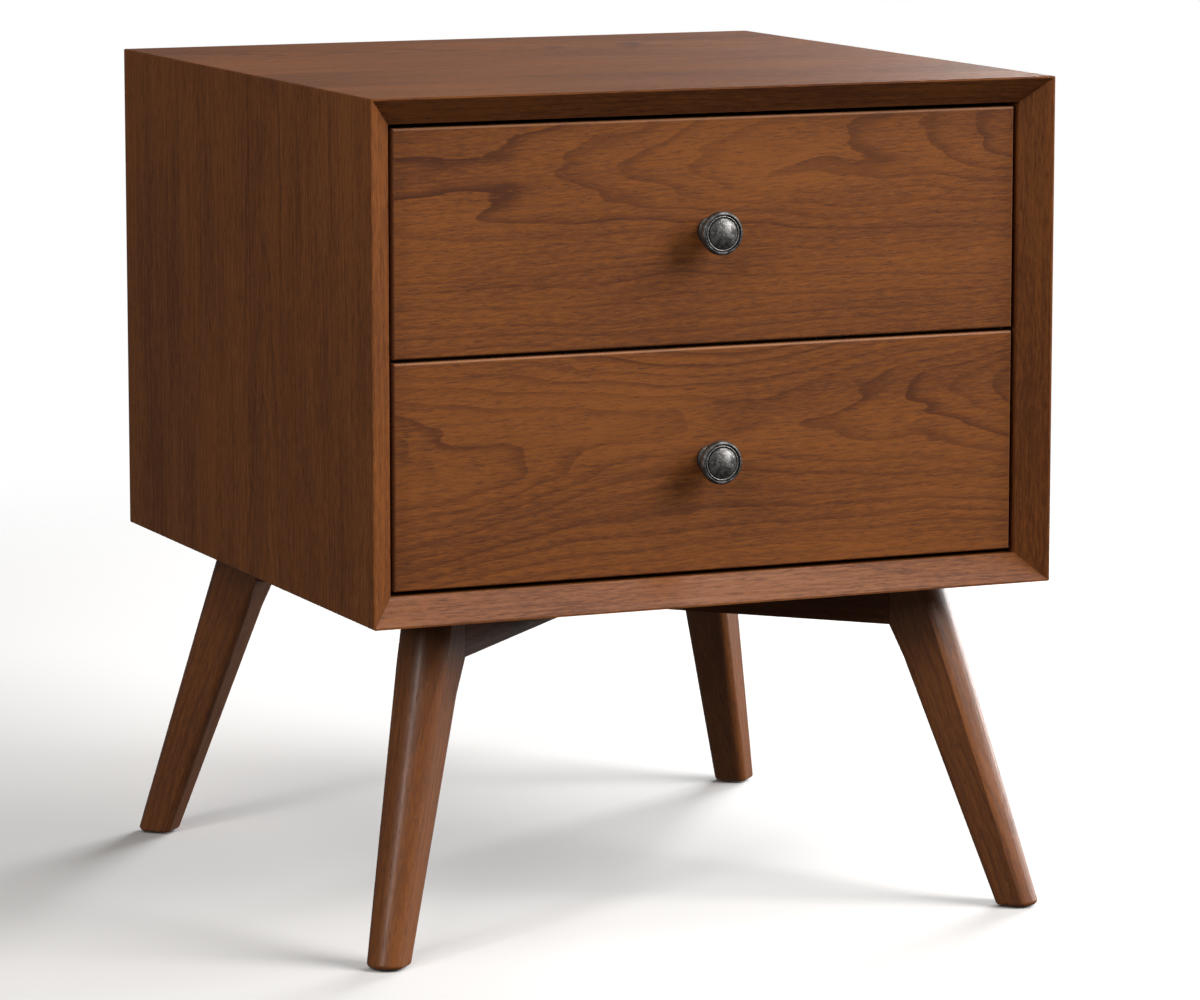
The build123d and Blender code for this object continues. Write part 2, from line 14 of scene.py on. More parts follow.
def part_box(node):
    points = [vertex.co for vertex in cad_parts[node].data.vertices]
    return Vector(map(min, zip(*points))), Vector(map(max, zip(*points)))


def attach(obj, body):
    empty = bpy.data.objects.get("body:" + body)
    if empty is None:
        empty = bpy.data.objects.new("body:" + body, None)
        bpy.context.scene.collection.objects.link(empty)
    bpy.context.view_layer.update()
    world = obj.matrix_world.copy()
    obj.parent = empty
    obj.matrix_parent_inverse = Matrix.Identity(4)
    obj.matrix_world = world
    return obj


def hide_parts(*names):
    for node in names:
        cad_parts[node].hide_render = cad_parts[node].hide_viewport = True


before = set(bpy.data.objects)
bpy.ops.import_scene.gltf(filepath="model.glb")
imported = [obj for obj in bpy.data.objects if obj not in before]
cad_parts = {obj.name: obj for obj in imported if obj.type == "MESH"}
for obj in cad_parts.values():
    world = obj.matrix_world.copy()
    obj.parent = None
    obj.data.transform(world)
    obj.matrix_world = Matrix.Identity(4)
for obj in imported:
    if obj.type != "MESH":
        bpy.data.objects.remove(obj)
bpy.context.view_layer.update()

bl_info = {
    "name": "Nightstand finishes",
    "version": (1, 0, 0),
    "blender": (4, 5, 0),
    "location": "3D View > Sidebar > Nightstand",
    "description": "Wood, metal and fittings for a two-drawer nightstand",
    "category": "Object",
}

DRAWERS = ("upper", "lower")
SIDES = ("left", "right")
X_AXIS, Y_AXIS, Z_AXIS = Vector((1, 0, 0)), Vector((0, 1, 0)), Vector((0, 0, 1))
MM = 0.001

# A Mix node has sockets for each kind of data under the same names, so colours go by number.
MIX_COLOUR_INPUTS = (0, 6, 7)
MIX_COLOUR_OUTPUT = 2


# ------------------------------------------------------------------ shader expressions
class Value:
    """A shader socket that takes part in Python expressions, each of which adds a Math node."""

    def __init__(self, shader, socket):
        self.shader = shader
        self.socket = socket

    def math(self, operation, *others, **settings):
        return self.shader.node(
            "ShaderNodeMath", {"operation": operation, **settings}, [self, *others]
        )

    def __add__(self, other):
        return self.math("ADD", other)

    def __sub__(self, other):
        return self.math("SUBTRACT", other)

    def __mul__(self, other):
        return self.math("MULTIPLY", other)

    def __truediv__(self, other):
        return self.math("DIVIDE", other)

    def __pow__(self, other):
        return self.math("POWER", other)

    def __radd__(self, other):
        return self.math("ADD", other)

    def __rsub__(self, other):
        return self.shader.node("ShaderNodeMath", {"operation": "SUBTRACT"}, [other, self])

    def __rmul__(self, other):
        return self.math("MULTIPLY", other)

    def __rtruediv__(self, other):
        return self.shader.node("ShaderNodeMath", {"operation": "DIVIDE"}, [other, self])

    def clamp(self):
        """The same value kept between 0 and 1."""
        return self.math("ADD", 0.0, use_clamp=True)

    def fract(self):
        return self.math("FRACT")

    def floor(self):
        return self.math("FLOOR")

    def root(self):
        return self.math("SQRT")

    def band(self, low, high):
        """0 below low, 1 above high, smooth between; low may be above high."""
        return self.shader.node(
            "ShaderNodeMapRange", {"interpolation_type": "SMOOTHSTEP"},
            {"Value": self, "From Min": low, "From Max": high},
        )


class Shader:
    """A material whose nodes are added one call at a time."""

    def __init__(self, name):
        self.material = bpy.data.materials.new(name)
        self.material.use_nodes = True
        self.tree = self.material.node_tree
        self.tree.nodes.clear()
        self.surface = self.tree.nodes.new("ShaderNodeBsdfPrincipled")
        output = self.tree.nodes.new("ShaderNodeOutputMaterial")
        self.tree.links.new(self.surface.outputs[0], output.inputs["Surface"])

    def node(self, kind, settings=None, inputs=None, output=0):
        """Add a node: its settings first, then the values or links of its sockets."""
        made = self.tree.nodes.new(kind)
        for name, setting in (settings or {}).items():
            setattr(made, name, setting)
        named = inputs if isinstance(inputs, dict) else dict(enumerate(inputs or []))
        for name, value in named.items():
            self._feed(made.inputs[name], value)
        return Value(self, made.outputs[output])

    def _feed(self, socket, value):
        if isinstance(value, Value):
            self.tree.links.new(value.socket, socket)
        elif socket.type == "RGBA" and len(value) == 3:
            socket.default_value = (*value, 1.0)
        else:
            socket.default_value = value

    def object_point(self):
        return self.node("ShaderNodeTexCoord", output="Object")

    def placed(self, point, centre, turn=(0, 0, 0)):
        """The point seen from a piece's own centre and turn."""
        return self.node(
            "ShaderNodeMapping", {"vector_type": "TEXTURE"},
            {"Vector": point, "Location": centre, "Rotation": turn},
        )

    def stretched(self, point, scale, place=(0, 0, 0)):
        """The point with so many units to a metre along each axis."""
        return self.node(
            "ShaderNodeMapping", None, {"Vector": point, "Scale": scale, "Location": place}
        )

    def axes(self, point):
        """X, Y and Z of a point."""
        parts = self.node("ShaderNodeSeparateXYZ", None, [point])
        outputs = parts.socket.node.outputs
        return tuple(Value(self, outputs[i]) for i in range(3))

    def noise(self, point, scale=1.0, detail=3.0, roughness=0.5):
        return self.node(
            "ShaderNodeTexNoise", None,
            {"Vector": point, "Scale": scale, "Detail": detail, "Roughness": roughness},
        )

    def mix(self, factor, first, second):
        """Two colours mixed."""
        return self.node(
            "ShaderNodeMix", {"data_type": "RGBA"},
            dict(zip(MIX_COLOUR_INPUTS, (factor, first, second))), output=MIX_COLOUR_OUTPUT,
        )

    def bump(self, height, distance, strength):
        return self.node(
            "ShaderNodeBump", None,
            {"Height": height, "Distance": distance, "Strength": strength},
        )

    def finish(self, **sockets):
        """Feed the surface: Base_Color=..., Roughness=... and so on."""
        for name, value in sockets.items():
            self._feed(self.surface.inputs[name.replace("_", " ")], value)
        return self.material


# ------------------------------------------------------------------ finishes
def turn_to(along, across):
    """Rotation whose X runs along the grain and whose Y runs across it in the board's face."""
    face = along.cross(across).normalized()
    return Matrix((along, across, face)).transposed().to_euler()


def stained_wood(name, wood, centre, along, across, depth, taper, bow=0.0, shift=0.0,
                 tone=1.0, seed=0.0, strength=1.0, contrast=1.0, shine=1.0, edges=None):
    """Brown-stained timber with the figure of a board sawn from a log.

    The heart of the log lies `depth` under the middle of the board's face and rises or falls by
    `taper` along the grain, and bends by `bow`, which is what makes the pointed figure. `shift`
    moves the heart sideways, and a heart far to the side gives straight grain. `seed` picks the
    board, `strength` is that of the growth rings and `contrast` that of everything else.
    `edges` holds half the sizes of a front whose ends are lightened as rubbed wear and whose top
    edge is lightened as wear and as a painted highlight of the light from above.
    """
    shader = Shader(name)
    point = shader.placed(shader.object_point(), centre, turn_to(along, across))
    u, v, w = shader.axes(point)

    def grain(length, width, detail=2.0, roughness=0.5):
        """Noise drawn out along the grain: so many lumps to a metre along and across it."""
        place = (seed * 3.7, seed * 5.3, seed * 2.9)
        moved = shader.stretched(point, (length, width, width), place)
        return shader.noise(moved, detail=detail, roughness=roughness) - 0.5

    # Rings lie about the wandering heart, and their edges are a little ragged.
    sideways = v - shift + grain(2.0, 5.0) * wood.wander
    inward = w + depth + u * taper + u * u * bow + grain(6.0, 22.0) * (wood.wander * 0.30)
    reach = (sideways * sideways + inward * inward).root()
    rings = reach / wood.ring_spacing + grain(26.0, 240.0, 3.0, 0.65) * 0.2
    year = rings.fract()
    pick = shader.node(
        "ShaderNodeTexWhiteNoise", {"noise_dimensions": "1D"}, {"W": rings.floor() + seed}
    )

    # A year's wood darkens slowly and ends at once. The line shows in some years and places
    # more than in others, and most where the board is cut flat to the rings.
    patch = grain(5.0, 24.0)
    late = year.band(0.15, 0.96) ** 3.0 * year.band(1.0, 0.965)
    flat_cut = (inward / reach).clamp()
    line = (
        late * (0.22 + pick * 0.66) * (0.80 + patch * 1.8).clamp() * (0.20 + flat_cut * 0.80)
    )

    clouds = grain(3.5, 16.0, 3.0)
    streaks = grain(7.0, 330.0, 3.0, 0.6)
    fibres = grain(80.0, 640.0, 3.0, 0.7)
    flecks = grain(95.0, 700.0)
    pores = flecks.band(0.10, 0.20)
    glints = flecks.band(-0.10, -0.20)

    light, shade, dark = ([c * tone for c in tint] for tint in (
        wood.light, wood.shade, wood.dark
    ))
    browner = (0.46 + (clouds * 1.5 + streaks * 1.1 + fibres * 2.2) * contrast).clamp()
    colour = shader.mix(browner, light, shade)
    colour = shader.mix((line * strength).clamp(), colour, dark)
    colour = shader.mix(glints * 0.35, colour, [c * 1.18 for c in light])
    colour = shader.mix(pores * 0.40, colour, [c * 0.66 for c in dark])
    # Lighter colour along a front's ends, as rubbed wear, and along its top edge, as wear and a
    # painted highlight where the eased edge faces the light above; the bottom edge stays dark.
    if edges:
        x, _, z = shader.axes(shader.placed(shader.object_point(), centre))
        ends = x.math("ABSOLUTE").band(edges.x - 1.8 * MM, edges.x)
        top = z.band(edges.z - 2.2 * MM, edges.z - 0.8 * MM)
        colour = shader.mix((ends + top).clamp() * 0.4, colour, wood.worn)
    return shader.finish(
        Base_Color=colour,
        Roughness=wood.roughness + (fibres * 0.25 + streaks * 0.35) * contrast + pores * 0.10,
        Specular_IOR_Level=wood.gloss * shine,
        Coat_Weight=wood.coat * shine,
        Coat_Roughness=0.28,
        Normal=shader.bump(fibres * 0.6 - pores, 0.12 * MM, 0.5),
    )


def pale_wood(name, centre, along, across, colour, ring_spacing=0.006, contrast=0.25):
    """Clear-lacquered pale timber or plywood, its rings cut nearly straight."""
    shader = Shader(name)
    point = shader.placed(shader.object_point(), centre, turn_to(along, across))
    u, v, w = shader.axes(point)
    slow = shader.noise(shader.stretched(point, (1.6, 4.0, 4.0)), detail=2.0)
    uneven = shader.noise(shader.stretched(point, (0.3, 38.0, 38.0)), detail=2.0)
    reach = v + 0.4 * w + u * 0.03 + (slow - 0.5) * 0.10 + (uneven - 0.5) * 0.03
    rings = (reach / ring_spacing).fract()
    fibres = shader.noise(shader.stretched(point, (30.0, 1000.0, 1000.0)), detail=4.0,
                          roughness=0.6)
    darker = [c * f for c, f in zip(colour, (0.74, 0.66, 0.56))]
    shade = (rings.band(0.2, 0.95) * contrast + fibres * 0.45).clamp()
    return shader.finish(
        Base_Color=shader.mix(shade, colour, darker),
        Roughness=0.48 + (fibres - 0.5) * 0.1,
        Normal=shader.bump(fibres, 0.10 * MM, 0.4),
    )


def plated_steel(name, colour, roughness, along=Y_AXIS):
    """Zinc-plated steel with faint rolling marks along one direction."""
    shader = Shader(name)
    across = Z_AXIS if abs(along.dot(Z_AXIS)) < 0.5 else X_AXIS
    point = shader.placed(shader.object_point(), (0, 0, 0), turn_to(along, across))
    marks = shader.noise(shader.stretched(point, (14.0, 2600.0, 2600.0)), detail=2.0)
    cloud = shader.noise(point, 60.0, detail=4.0, roughness=0.6)
    dull = [c * 0.72 for c in colour]
    return shader.finish(
        Base_Color=shader.mix((cloud.band(0.35, 0.75) * 0.6).clamp(), colour, dull),
        Roughness=roughness + (marks - 0.5) * 0.18 + (cloud - 0.5) * 0.12,
        Metallic=1.0,
        Normal=shader.bump(marks, 0.03 * MM, 0.5),
    )


def aged_pewter(name, knob, axis_point):
    """Dark antiqued pewter, rubbed brighter where fingers reach and blackened in the grooves."""
    shader = Shader(name)
    point = shader.placed(shader.object_point(), axis_point)
    x, _, z = shader.axes(point)
    radius = (x * x + z * z).root() / knob.radius
    mottle = shader.noise(point, 620.0, detail=5.0, roughness=0.65)
    blotch = shader.noise(point, 150.0, detail=3.0, roughness=0.6)
    scratch = shader.noise(shader.stretched(point, (900.0, 900.0, 5200.0)), detail=2.0)
    groove = (
        radius.band(knob.dome - 0.02, knob.dome + 0.01) * radius.band(
            knob.bead - 0.02, knob.bead - 0.035
        )
        + radius.band(knob.bead + 0.03, knob.rim - 0.03) * radius.band(knob.rim + 0.02, knob.rim)
    )
    bead = radius.band(knob.bead - 0.035, knob.bead - 0.01) * radius.band(
        knob.bead + 0.035, knob.bead + 0.01
    )
    worn = (blotch.band(0.42, 0.66) * 0.6 + mottle.band(0.5, 0.75) * 0.5 + bead).clamp()
    colour = shader.mix(worn, knob.dark, knob.bright)
    colour = shader.mix((groove * 0.85).clamp(), colour, [c * 0.12 for c in knob.dark])
    return shader.finish(
        Base_Color=colour,
        Metallic=1.0,
        Roughness=0.56 - worn * 0.12 + (mottle - 0.5) * 0.2 + groove * 0.3,
        Normal=shader.bump(mottle * 0.8 + blotch + scratch * 0.2, 0.45 * MM, 0.7),
    )


def moulded_nylon(name, colour):
    """Dark moulded nylon, scuffed a little."""
    shader = Shader(name)
    grain = shader.noise(shader.object_point(), 900.0, detail=3.0)
    scuff = shader.noise(shader.object_point(), 160.0, detail=3.0)
    lighter = [c * 1.9 for c in colour]
    return shader.finish(
        Base_Color=shader.mix((scuff.band(0.5, 0.8) * 0.6).clamp(), colour, lighter),
        Roughness=0.5 + (grain - 0.5) * 0.2,
        Normal=shader.bump(grain, 0.08 * MM, 0.5),
    )


# ------------------------------------------------------------------ mesh helpers
def paint(obj, material):
    """Give an object one material."""
    obj.data.materials.clear()
    obj.data.materials.append(material)


def linked(name, data):
    """A new object in the scene that holds a mesh, light or camera."""
    obj = bpy.data.objects.new(name, data)
    bpy.context.scene.collection.objects.link(obj)
    return obj


def new_piece(name, mesh, material, body, node):
    """Link a finished mesh, let it ride on a body and stand for its CAD node."""
    piece = linked(name, mesh)
    paint(piece, material)
    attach(piece, body)
    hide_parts(node)
    return piece


def mesh_of(name, bm, smooth=True):
    """Turn a bmesh into a mesh with outward faces."""
    bmesh.ops.remove_doubles(bm, verts=bm.verts, dist=1e-7)
    bmesh.ops.recalc_face_normals(bm, faces=bm.faces)
    mesh = bpy.data.meshes.new(name)
    bm.to_mesh(mesh)
    bm.free()
    mesh.shade_smooth() if smooth else mesh.shade_flat()
    return mesh


def arc(centre, radius, start, end, steps):
    """Points of an arc, angles in degrees."""
    return [
        (centre[0] + radius * math.cos(math.radians(start + (end - start) * i / steps)),
         centre[1] + radius * math.sin(math.radians(start + (end - start) * i / steps)))
        for i in range(steps + 1)
    ]


def turned(outline, foot, axis, segments=96):
    """A bmesh lathed about an axis: outline holds (radius, distance along the axis)."""
    bm = bmesh.new()
    axis = axis.normalized()
    out = axis.orthogonal().normalized()
    verts = [bm.verts.new(foot + out * r + axis * h) for r, h in outline]
    edges = [bm.edges.new(pair) for pair in zip(verts, verts[1:])]
    bmesh.ops.spin(
        bm, geom=verts + edges, cent=foot, axis=axis, angle=math.tau, steps=segments,
        use_merge=True,
    )
    return bm


def islands(node):
    """The boxes of a CAD node's separate solids, as (lowest, highest) corners."""
    bm = bmesh.new()
    bm.from_mesh(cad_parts[node].data)
    bmesh.ops.remove_doubles(bm, verts=bm.verts, dist=1e-6)
    left, boxes = set(bm.verts), []
    while left:
        reached = [left.pop()]
        for vert in reached:
            for edge in vert.link_edges:
                other = edge.other_vert(vert)
                if other in left:
                    left.remove(other)
                    reached.append(other)
        low = Vector([min(v.co[i] for v in reached) for i in range(3)])
        high = Vector([max(v.co[i] for v in reached) for i in range(3)])
        boxes.append((low, high))
    bm.free()
    return sorted(boxes, key=lambda pair: tuple(round(c, 5) for c in pair[0]))


def middle(node):
    """Centre of a CAD node's box."""
    low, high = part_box(node)
    return (low + high) / 2


# ------------------------------------------------------------------ geometry node trees
class Tree:
    """A geometry node tree with named inputs."""

    def __init__(self, name):
        self.group = bpy.data.node_groups.new(name, "GeometryNodeTree")
        self.start = self.group.nodes.new("NodeGroupInput")
        self.end = self.group.nodes.new("NodeGroupOutput")
        self.group.interface.new_socket(
            "Geometry", in_out="OUTPUT", socket_type="NodeSocketGeometry"
        )

    def input(self, name, kind):
        self.group.interface.new_socket(name, in_out="INPUT", socket_type=kind)
        return self.start.outputs[name]

    def node(self, kind, settings=None, inputs=None, output=0):
        made = self.group.nodes.new(kind)
        for name, setting in (settings or {}).items():
            setattr(made, name, setting)
        for name, value in (inputs or {}).items():
            if isinstance(value, bpy.types.NodeSocket):
                self.group.links.new(value, made.inputs[name])
            else:
                made.inputs[name].default_value = value
        return made.outputs[output]

    def realised(self, instances, material):
        """End the tree in Realize Instances and Set Material."""
        real = self.node("GeometryNodeRealizeInstances", None, {"Geometry": instances})
        done = self.node(
            "GeometryNodeSetMaterial", None, {"Geometry": real, "Material": material}
        )
        self.group.links.new(done, self.end.inputs["Geometry"])
        return self.group


def grown(name, group, values, base=None):
    """Run a tree once on a base mesh and return the result as a plain mesh."""
    holder = linked(name + "_grown", base or bpy.data.meshes.new(name + "_base"))
    modifier = holder.modifiers.new("grow", "NODES")
    modifier.node_group = group
    for item in group.interface.items_tree:
        if item.item_type == "SOCKET" and item.in_out == "INPUT" and item.name in values:
            modifier[item.identifier] = values[item.name]
    bpy.context.view_layer.update()
    depsgraph = bpy.context.evaluated_depsgraph_get()
    mesh = bpy.data.meshes.new_from_object(holder.evaluated_get(depsgraph))
    holder.modifiers.remove(modifier)
    bpy.data.objects.remove(holder)
    mesh.name = name
    return mesh


def scatter_tree():
    """Copies of one part on the points of a mesh."""
    tree = Tree("place_parts")
    points = tree.input("Places", "NodeSocketGeometry")
    part = tree.input("Part", "NodeSocketObject")
    material = tree.input("Material", "NodeSocketMaterial")
    shape = tree.node("GeometryNodeObjectInfo", None, {"Object": part}, output="Geometry")
    placed = tree.node(
        "GeometryNodeInstanceOnPoints", None, {"Points": points, "Instance": shape}
    )
    return tree.realised(placed, material)


def ball_row_tree():
    """A straight row of balls."""
    tree = Tree("ball_row")
    start = tree.input("Start", "NodeSocketVector")
    step = tree.input("Step", "NodeSocketVector")
    count = tree.input("Count", "NodeSocketInt")
    radius = tree.input("Radius", "NodeSocketFloat")
    material = tree.input("Material", "NodeSocketMaterial")
    row = tree.node(
        "GeometryNodeMeshLine", {"mode": "OFFSET"},
        {"Count": count, "Start Location": start, "Offset": step},
    )
    ball = tree.node(
        "GeometryNodeMeshIcoSphere", None, {"Radius": radius, "Subdivisions": 3}
    )
    smooth = tree.node("GeometryNodeSetShadeSmooth", None, {"Geometry": ball})
    placed = tree.node(
        "GeometryNodeInstanceOnPoints", None, {"Points": row, "Instance": smooth}
    )
    return tree.realised(placed, material)


# ------------------------------------------------------------------ settings
def colour_property(name, default, description):
    return FloatVectorProperty(
        name=name, description=description, subtype="COLOR", size=3, min=0.0, max=1.0,
        default=default,
    )


class NightstandWood(bpy.types.PropertyGroup):
    """The stained timber of the case, fronts and base."""

    light: colour_property("Light", (0.240, 0.081, 0.0215), "Stain on the open grain")
    shade: colour_property("Shade", (0.130, 0.043, 0.0148), "Stain on the dense grain")
    dark: colour_property("Dark", (0.068, 0.022, 0.0115), "Stain in the growth rings")
    # Lighter colour for the fronts' ends, as rubbed wear, and for their top edges, as wear and a
    # painted highlight.
    worn: colour_property("Worn", (0.46, 0.23, 0.12), "Rubbed edges")
    ring_spacing: FloatProperty(
        name="Ring spacing", description="Width of one year's growth", default=0.0064,
        unit="LENGTH",
    )
    wander: FloatProperty(
        name="Wander", description="How far the heart of the log wanders", default=0.085,
        unit="LENGTH",
    )
    roughness: FloatProperty(
        name="Roughness", description="Roughness of the satin lacquer", default=0.42,
    )
    coat: FloatProperty(
        name="Lacquer", description="Weight of the clear coat", default=0.10,
    )
    gloss: FloatProperty(
        name="Gloss", description="Specular level under the coat", default=0.15,
    )
    base_tone: FloatProperty(
        name="Base tone", description="Brightness of the legs beside the case", default=1.0,
    )
    base_shine: FloatProperty(
        name="Base shine", description="Shine of the legs beside the case", default=1.9,
    )
    # Darkens the rails' stain: painted shade, as the rails stand in shade under the case.
    rail_painted_shade: FloatProperty(
        name="Rail tone", description="Brightness of the rails beside the case", default=0.85,
    )


class NightstandBoxes(bpy.types.PropertyGroup):
    """The drawer boxes, back panel and dowels."""

    timber: colour_property("Timber", (0.52, 0.34, 0.19), "Lacquered drawer sides")
    ply: colour_property("Plywood", (0.36, 0.21, 0.105), "Drawer bottoms and back panel")
    dowel: colour_property("Dowel", (0.62, 0.44, 0.27), "Beech dowels")


class NightstandKnobs(bpy.types.PropertyGroup):
    """The turned knobs. Radii of the face's parts are shares of the cap's radius."""

    radius: FloatProperty(
        name="Radius", description="Radius of the cap", unit="LENGTH",
        default=(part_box("upper_knob")[1].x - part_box("upper_knob")[0].x) / 2,
    )
    dome: FloatProperty(name="Dome", description="Radius of the domed face", default=0.69)
    bead: FloatProperty(name="Bead", description="Radius of the raised bead", default=0.765)
    bead_width: FloatProperty(name="Bead width", description="Width of the bead", default=0.05)
    rim: FloatProperty(name="Rim", description="Inner radius of the rounded rim", default=0.845)
    dark: colour_property("Dark", (0.075, 0.073, 0.072), "Blackened metal")
    bright: colour_property("Bright", (0.34, 0.335, 0.33), "Rubbed metal")


class NightstandMetalwork(bpy.types.PropertyGroup):
    """Slides, balls and screws."""

    zinc: colour_property("Zinc", (0.60, 0.61, 0.63), "Plated steel")
    ball: colour_property("Ball", (0.78, 0.79, 0.80), "Polished balls")
    steel: FloatProperty(
        name="Steel", description="Thickness of the slides' steel", default=0.0012,
        unit="LENGTH",
    )
    lip: FloatProperty(
        name="Lip", description="Height of the turned lips", default=0.0034, unit="LENGTH",
    )
    bend: FloatProperty(
        name="Bend", description="Radius of the rolled bends", default=0.0024, unit="LENGTH",
    )
    cage: FloatProperty(
        name="Cage", description="Thickness of the strips that keep the balls apart",
        default=0.5 * MM, unit="LENGTH",
    )
    balls: IntProperty(name="Balls", description="Balls in each row", default=13, min=2)
    ball_radius: FloatProperty(
        name="Ball radius", description="Radius of a ball", default=0.0016, unit="LENGTH",
    )
    recess: FloatProperty(
        name="Recess", description="Depth of a screw's cross recess", default=0.0012,
        unit="LENGTH",
    )


class NightstandStage(bpy.types.PropertyGroup):
    """Camera, lights and floor."""

    yaw: FloatProperty(
        name="Yaw", description="Turn of the camera towards +X", default=math.radians(23.43),
        subtype="ANGLE",
    )
    pitch: FloatProperty(
        name="Pitch", description="How far the camera looks down", default=math.radians(8.75),
        subtype="ANGLE",
    )
    camera: FloatVectorProperty(
        name="Camera", description="Place of the camera", size=3, subtype="TRANSLATION",
        default=(-1.705, -3.9823, 0.967),
    )
    lens: FloatProperty(name="Lens", description="Focal length in mm", default=164.5)
    key: FloatProperty(name="Key", description="Power of the key light", default=180.0)
    overhead: FloatProperty(
        name="Overhead", description="Power of the light above", default=26.0,
    )
    fill: FloatProperty(
        name="Fill", description="Power of the light above on the left", default=58.0,
    )
    sheen: FloatProperty(
        name="Sheen", description="Power of the light behind on the right", default=95.0,
    )
    right: FloatProperty(name="Right", description="Power of the light on the right", default=40.0)
    low: FloatProperty(name="Low", description="Power of the light low on the right", default=18.0)
    left: FloatProperty(name="Left", description="Power of the strip on the left", default=24.0)
    ambient: FloatProperty(
        name="Ambient", description="Light that comes from all around", default=0.09,
    )
    floor: colour_property("Floor", (0.74, 0.74, 0.74), "Floor")
    floor_radius: FloatProperty(
        name="Floor radius", description="Where the floor has faded into the white backdrop",
        default=2.4, unit="LENGTH",
    )


# ------------------------------------------------------------------ operators
class NIGHTSTAND_OT_case(bpy.types.Operator):
    """Stain the four mitred panels, each with its own board's figure"""

    bl_idname = "nightstand.case"
    bl_label = "Case panels"

    def execute(self, context):
        wood = context.scene.nightstand_wood
        slope = {"top_panel": 0.12, "bottom_panel": -0.08}
        for node, taper in slope.items():
            paint(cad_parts[node], stained_wood(
                node + "_wood", wood, middle(node), X_AXIS, Y_AXIS, depth=0.06, taper=taper,
                shift=0.16, seed=taper * 50, strength=1.4, contrast=1.8, tone=0.9,
            ))
        for side, sign in zip(SIDES, (-1, 1)):
            node = side + "_side_panel"
            paint(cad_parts[node], stained_wood(
                node + "_wood", wood, middle(node), Z_AXIS, sign * Y_AXIS, depth=0.09,
                taper=0.06, shift=0.05, seed=5.5 + sign, strength=0.6, contrast=1.4,
                shine=0.4,
            ))
        return {"FINISHED"}


class NIGHTSTAND_OT_fronts(bpy.types.Operator):
    """Stain the two drawer fronts, sawn one after the other from the same board"""

    bl_idname = "nightstand.fronts"
    bl_label = "Drawer fronts"

    def execute(self, context):
        wood = context.scene.nightstand_wood
        figure = {
            "upper": (0.050, -0.080, -0.10, 0.052, 9.6),
            "lower": (0.052, -0.010, -0.42, 0.019, 2.1),
        }
        rising = Vector((math.cos(math.radians(2)), 0, math.sin(math.radians(2))))
        for drawer, (depth, taper, bow, shift, seed) in figure.items():
            node = drawer + "_drawer_front"
            low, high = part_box(node)
            paint(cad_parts[node], stained_wood(
                node + "_wood", wood, middle(node), rising, rising.cross(Y_AXIS), depth=depth,
                taper=taper, bow=bow, shift=shift, seed=seed, contrast=1.25,
                edges=(high - low) / 2,
            ))
        return {"FINISHED"}


class NIGHTSTAND_OT_base(bpy.types.Operator):
    """Stain the legs and crossed rails, with the grain running along each one"""

    bl_idname = "nightstand.base"
    bl_label = "Legs and rails"

    def execute(self, context):
        wood = context.scene.nightstand_wood
        for end, y_sign in (("front", -1), ("back", 1)):
            for side, x_sign in zip(SIDES, (-1, 1)):
                node = f"{end}_{side}_leg"
                low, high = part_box(node)
                spread = Vector((x_sign * (high.x - low.x), y_sign * (high.y - low.y), 0)) * 0.6
                along = (spread - Z_AXIS * (high.z - low.z)).normalized()
                outward = Vector((x_sign, y_sign, 0)).normalized()
                across = outward.cross(Z_AXIS).normalized()
                paint(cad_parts[node], stained_wood(
                    node + "_wood", wood, middle(node), along, across, depth=0.07,
                    taper=0.05, shift=0.02 * x_sign, tone=wood.base_tone,
                    seed=7 + x_sign + y_sign * 2, strength=0.7, shine=wood.base_shine,
                ))
        # The rails get a darker stain than the rest: painted shade under the case.
        for node, sign in (("cross_rail_upper_lap", 1), ("cross_rail_lower_lap", -1)):
            along = Vector((1, sign, 0)).normalized()
            paint(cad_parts[node], stained_wood(
                node + "_wood", wood, middle(node), along, Z_AXIS, depth=0.08, taper=0.02,
                tone=wood.rail_painted_shade, seed=12 + sign,
            ))
        return {"FINISHED"}


class NIGHTSTAND_OT_boxes(bpy.types.Operator):
    """Finish the drawer boxes, the divider, the back panel and the dowels"""

    bl_idname = "nightstand.boxes"
    bl_label = "Drawer boxes and back"

    def execute(self, context):
        boxes = context.scene.nightstand_boxes
        boards = {"divider_rail": (X_AXIS, Y_AXIS)}
        for drawer in DRAWERS:
            for part in ("inner_front", "back"):
                boards[f"{drawer}_drawer_{part}"] = (X_AXIS, Z_AXIS)
            for side in SIDES:
                boards[f"{drawer}_drawer_{side}_side"] = (Y_AXIS, Z_AXIS)
        for node, (along, across) in boards.items():
            paint(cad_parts[node], pale_wood(
                node + "_wood", middle(node), along, across, boxes.timber,
            ))
        sheets = {"back_panel": (Z_AXIS, X_AXIS)}
        for drawer in DRAWERS:
            sheets[f"{drawer}_drawer_bottom"] = (X_AXIS, Y_AXIS)
        for node, (along, across) in sheets.items():
            paint(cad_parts[node], pale_wood(
                node + "_ply", middle(node), along, across, boxes.ply, ring_spacing=0.024,
                contrast=0.22,
            ))
        beech = pale_wood("beech_dowel", (0, 0, 0), X_AXIS, Z_AXIS, boxes.dowel)
        for node in ("corner_dowels", "divider_dowels", "leg_dowels"):
            paint(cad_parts[node], beech)
        return {"FINISHED"}


